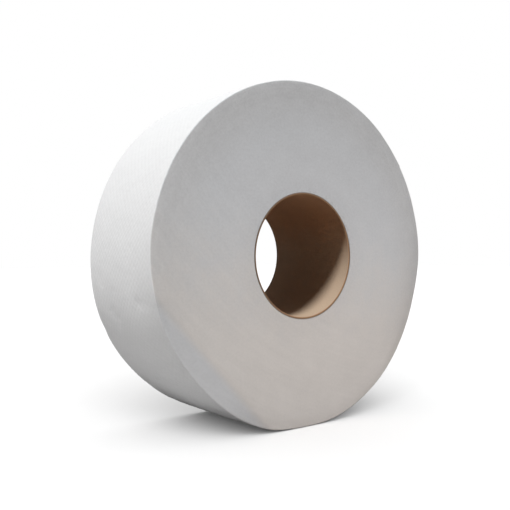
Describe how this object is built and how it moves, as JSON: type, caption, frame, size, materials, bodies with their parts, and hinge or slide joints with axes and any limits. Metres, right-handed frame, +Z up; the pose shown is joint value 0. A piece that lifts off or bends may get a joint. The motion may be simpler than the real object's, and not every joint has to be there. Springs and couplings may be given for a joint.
{
  "type": "toilet paper roll",
  "caption": "Wide soft white tissue roll wound on a flush-sawn brown cardboard tube, resting on a small flat spot of its rim, for a spindle dispenser.",
  "frame": {"origin": "middle of the core's bore, on the roll's axis", "axes": "+Y along the roll's axis, from the front sawn end to the rear one; +Z up, away from the flat spot"},
  "size_m": [0.2298, 0.08, 0.2287],
  "materials": {
    "tissue": "soft matt, lightly embossed",
    "core_board": "matt brown board"
  },
  "bodies": {
    "root": {"paper_winding": "tissue", "cardboard_core": "core_board"}
  },
  "joints": []
}
